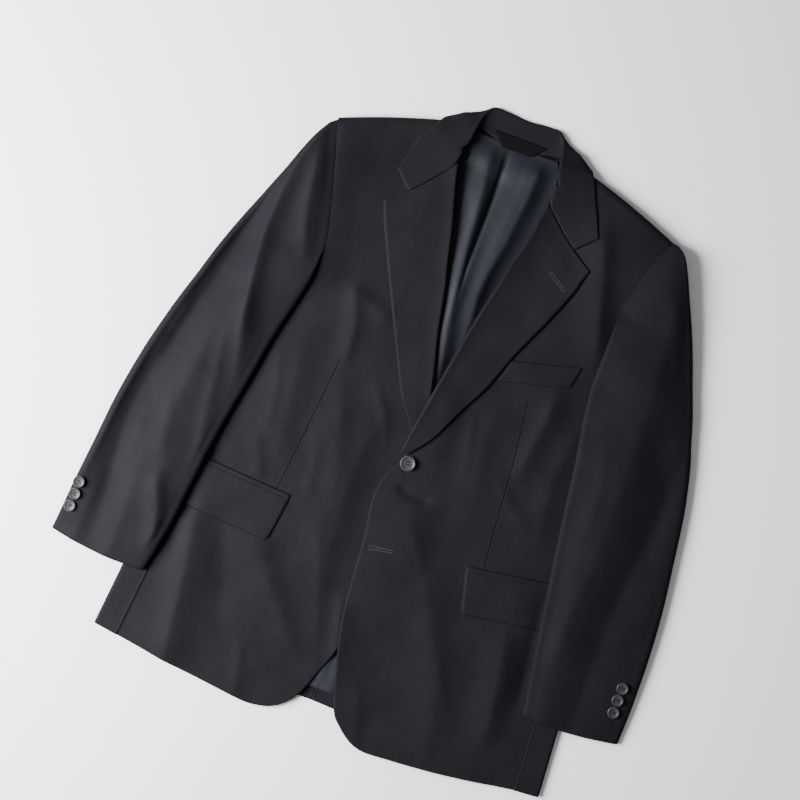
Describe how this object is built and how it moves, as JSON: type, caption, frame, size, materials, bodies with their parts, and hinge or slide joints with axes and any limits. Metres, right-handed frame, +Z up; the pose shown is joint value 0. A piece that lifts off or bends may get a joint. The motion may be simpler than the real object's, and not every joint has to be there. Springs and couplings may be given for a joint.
{
  "type": "blazer",
  "caption": "Single-breasted blazer in dark worsted cloth, laid out flat on its back and buttoned, with notched lapels, flap pockets and a breast welt",
  "frame": {"origin": "On the table under the middle of the garment's bounding box: it lies on its back with z = 0 at the table.", "axes": "+Z up from the table, +Y from the hem to the collar, +X to the wearer's left."},
  "size_m": [0.782, 0.8397, 0.026],
  "materials": {
    "wool": "matt worsted wool",
    "satin": "satin lining",
    "horn": "polished horn look",
    "label": "woven, bare"
  },
  "bodies": {
    "root": {"back_left": "wool", "back_lining": "satin", "back_right": "wool", "breast_welt": "wool", "button_cuff_left_1": "horn", "button_cuff_left_2": "horn", "button_cuff_left_3": "horn", "button_cuff_right_1": "horn", "button_cuff_right_2": "horn", "button_cuff_right_3": "horn", "button_front": "horn", "button_front_lower": "horn", "collar": "wool", "front_left": "wool", "front_right": "wool", "lapel_left": "wool", "lapel_right": "wool", "neck_label": "label", "pocket_flap_left": "wool", "pocket_flap_right": "wool", "pocket_jet_left": "wool", "pocket_jet_right": "wool", "side_left": "wool", "side_right": "wool", "sleeve_top_left": "wool", "sleeve_top_right": "wool", "sleeve_under_left": "wool", "sleeve_under_right": "wool"}
  },
  "joints": []
}
